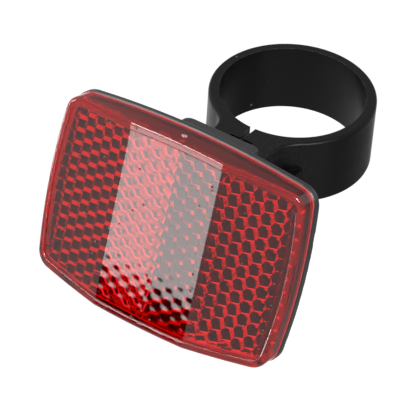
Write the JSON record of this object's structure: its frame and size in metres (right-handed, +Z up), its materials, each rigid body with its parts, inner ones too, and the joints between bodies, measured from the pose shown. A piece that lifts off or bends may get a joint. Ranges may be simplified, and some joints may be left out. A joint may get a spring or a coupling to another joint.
{
  "type": "bicycle rear reflector",
  "caption": "Red three-faceted rear reflector with corner-cube prisms, on a split seat post clamp with a cross screw and tilt hinge.",
  "frame": {"origin": "on the seat post's axis, at half the height of the clamp band", "axes": "+Z up along the seat post, reflector faces -Y (rearwards on the bicycle), +X to the right seen from behind the bicycle"},
  "size_m": [0.0602, 0.0754, 0.0441],
  "materials": {
    "band_plastic": "black glass-filled nylon, fine satin",
    "cover_plastic": "black moulded plastic, satin",
    "zinc_steel": "zinc-plated steel",
    "red_lens": "clear red moulded acrylic, polished"
  },
  "bodies": {
    "clamp": {"clamp_band": "band_plastic", "clamp_screw": "zinc_steel", "clamp_nut": "zinc_steel"},
    "reflector": {"back_cover": "cover_plastic", "lens": "red_lens"}
  },
  "joints": [
    {"name": "reflector_tilt", "type": "hinge", "parent": "clamp", "child": "reflector", "pos_m": [0, -0.0252, -0.0033], "axis": [1, 0, 0], "range_deg": [-20, 25]}
  ]
}
